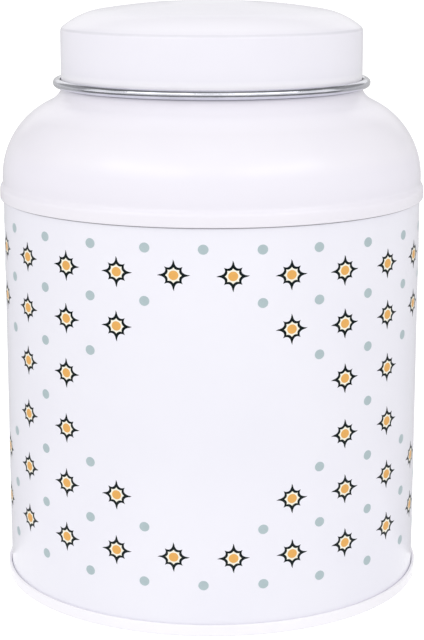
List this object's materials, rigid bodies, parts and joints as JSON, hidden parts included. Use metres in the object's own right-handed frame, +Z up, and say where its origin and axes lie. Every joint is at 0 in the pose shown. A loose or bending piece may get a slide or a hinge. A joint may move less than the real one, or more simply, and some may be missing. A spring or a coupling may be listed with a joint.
{
  "type": "kitchen canister",
  "caption": "Round white tinplate canister for dry food: rolled body, pressed base, domed shoulder with a neck, and a slip lid with a curled rim that lifts straight off.",
  "frame": {"origin": "on the floor, at the centre of the ring that the base stands on", "axes": "+Z up along the canister's axis, -Y towards the front of the printed body, +X to the viewer's right, the body's lock seam at +Y"},
  "size_m": [0.132, 0.132, 0.1817],
  "materials": {
    "base_lacquer": "satin gloss white lacquer on tinplate",
    "printed_lacquer": "satin gloss white lacquer printed with small stars and dots, bare tin inside",
    "white_lacquer": "satin gloss white lacquer outside, bare tin inside",
    "lid_lacquer": "satin gloss white lacquer outside, bare tin inside and on the curled rim"
  },
  "bodies": {
    "canister": {"base_end": "base_lacquer", "body_wall": "printed_lacquer", "shoulder_dome": "white_lacquer"},
    "lid": {"lid_shell": "lid_lacquer"}
  },
  "joints": [
    {"name": "lid_lift", "type": "slide", "parent": "canister", "child": "lid", "axis": [0, 0, 1], "range_m": [0, 0.05]}
  ]
}
